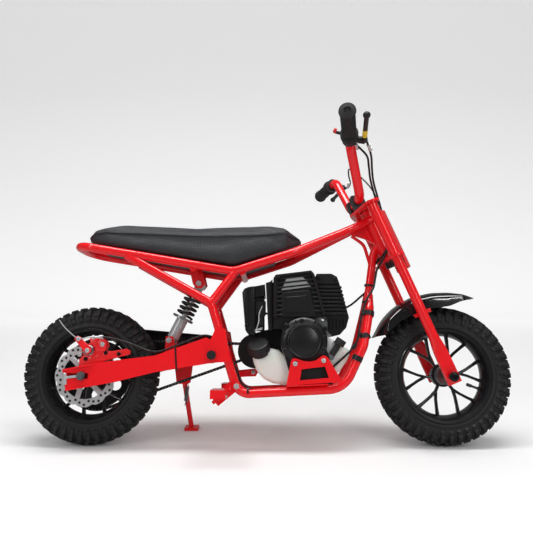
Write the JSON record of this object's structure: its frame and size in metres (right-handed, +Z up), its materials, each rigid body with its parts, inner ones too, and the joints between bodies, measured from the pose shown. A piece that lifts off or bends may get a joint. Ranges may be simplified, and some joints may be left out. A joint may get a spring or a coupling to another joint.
{
  "type": "minibike",
  "caption": "small petrol minibike with knobbly tyres, tube frame, open engine and long seat, leaning on its side stand",
  "frame": {"origin": "on the floor, in the middle of the bounding box of the bike as it leans", "axes": "+X forward, +Y to the rider's left, +Z up"},
  "size_m": [1.14, 0.5688, 0.7405],
  "materials": {
    "tyre_rubber": "matte black rubber",
    "black_cast_wheel": "satin black cast wheel",
    "bare_steel": "plain grey steel",
    "dark_steel": "oiled dark steel",
    "red_paint": "glossy bright red",
    "black_gloss": "glossy black",
    "black_plastic": "satin black",
    "grip_rubber": "matte black",
    "cast_engine": "dark cast",
    "white_tank": "milky white",
    "seat_vinyl": "woven-textured dark grey vinyl"
  },
  "bodies": {
    "frame_body": {"rear_axle": "bare_steel", "frame_head": "red_paint", "rail_right": "red_paint", "rail_left": "red_paint", "tail_loop": "red_paint", "cradle_right": "red_paint", "cradle_left": "red_paint", "frame_crossmembers": "red_paint", "footpeg_brackets": "red_paint", "footpegs": "red_paint", "swingarm": "red_paint", "pivot_bolt": "dark_steel", "shock_body": "bare_steel", "shock_spring": "dark_steel", "chain": "dark_steel", "chain_guard": "black_plastic", "brake_caliper": "red_paint", "engine_block": "cast_engine", "recoil_cover": "black_plastic", "cylinder_shroud": "black_plastic", "muffler_cover": "black_plastic", "air_filter": "black_plastic", "fuel_tank": "white_tank", "fuel_cap": "black_plastic", "oil_filler": "black_plastic", "gearbox": "black_plastic", "front_sprocket": "dark_steel", "engine_bracket_right": "red_paint", "engine_bracket_left": "red_paint", "seat_pad": "seat_vinyl", "seat_base": "black_plastic", "stand_bracket": "red_paint"},
    "fork_body": {"front_axle": "bare_steel", "fork_legs": "red_paint", "lower_clamp": "red_paint", "upper_clamp": "red_paint", "steering_stem": "dark_steel", "front_fender": "black_gloss", "fender_stays": "red_paint", "front_panel": "red_paint", "bar_clamps": "black_plastic", "handlebar": "red_paint", "grips": "grip_rubber", "brake_levers": "black_plastic", "switch_housing": "black_plastic"},
    "front_wheel": {"front_tyre": "tyre_rubber", "front_rim": "black_cast_wheel", "front_hub": "bare_steel"},
    "rear_wheel": {"rear_tyre": "tyre_rubber", "rear_rim": "black_cast_wheel", "rear_hub": "bare_steel", "rear_sprocket": "dark_steel", "brake_disc": "bare_steel"},
    "stand_leg": {"side_stand": "red_paint"}
  },
  "joints": [
    {"name": "steering", "type": "hinge", "parent": "frame_body", "child": "fork_body", "pos_m": [0.27323, -0.03273, 0.48504], "axis": [-0.3827, 0.1557, 0.9107], "range_deg": [-40, 40]},
    {"name": "front_wheel_spin", "type": "hinge", "parent": "fork_body", "child": "front_wheel", "pos_m": [0.411, -0.08877, 0.1572], "axis": [0, 0.9857, -0.1685], "continuous": true},
    {"name": "rear_wheel_spin", "type": "hinge", "parent": "frame_body", "child": "rear_wheel", "pos_m": [-0.411, -0.08877, 0.1572], "axis": [0, 0.9857, -0.1685], "continuous": true},
    {"name": "stand_fold", "type": "hinge", "parent": "frame_body", "child": "stand_leg", "pos_m": [-0.2075, -0.01275, 0.13304], "axis": [0, 0.9994, 0.0349], "range_deg": [0, 95]}
  ]
}
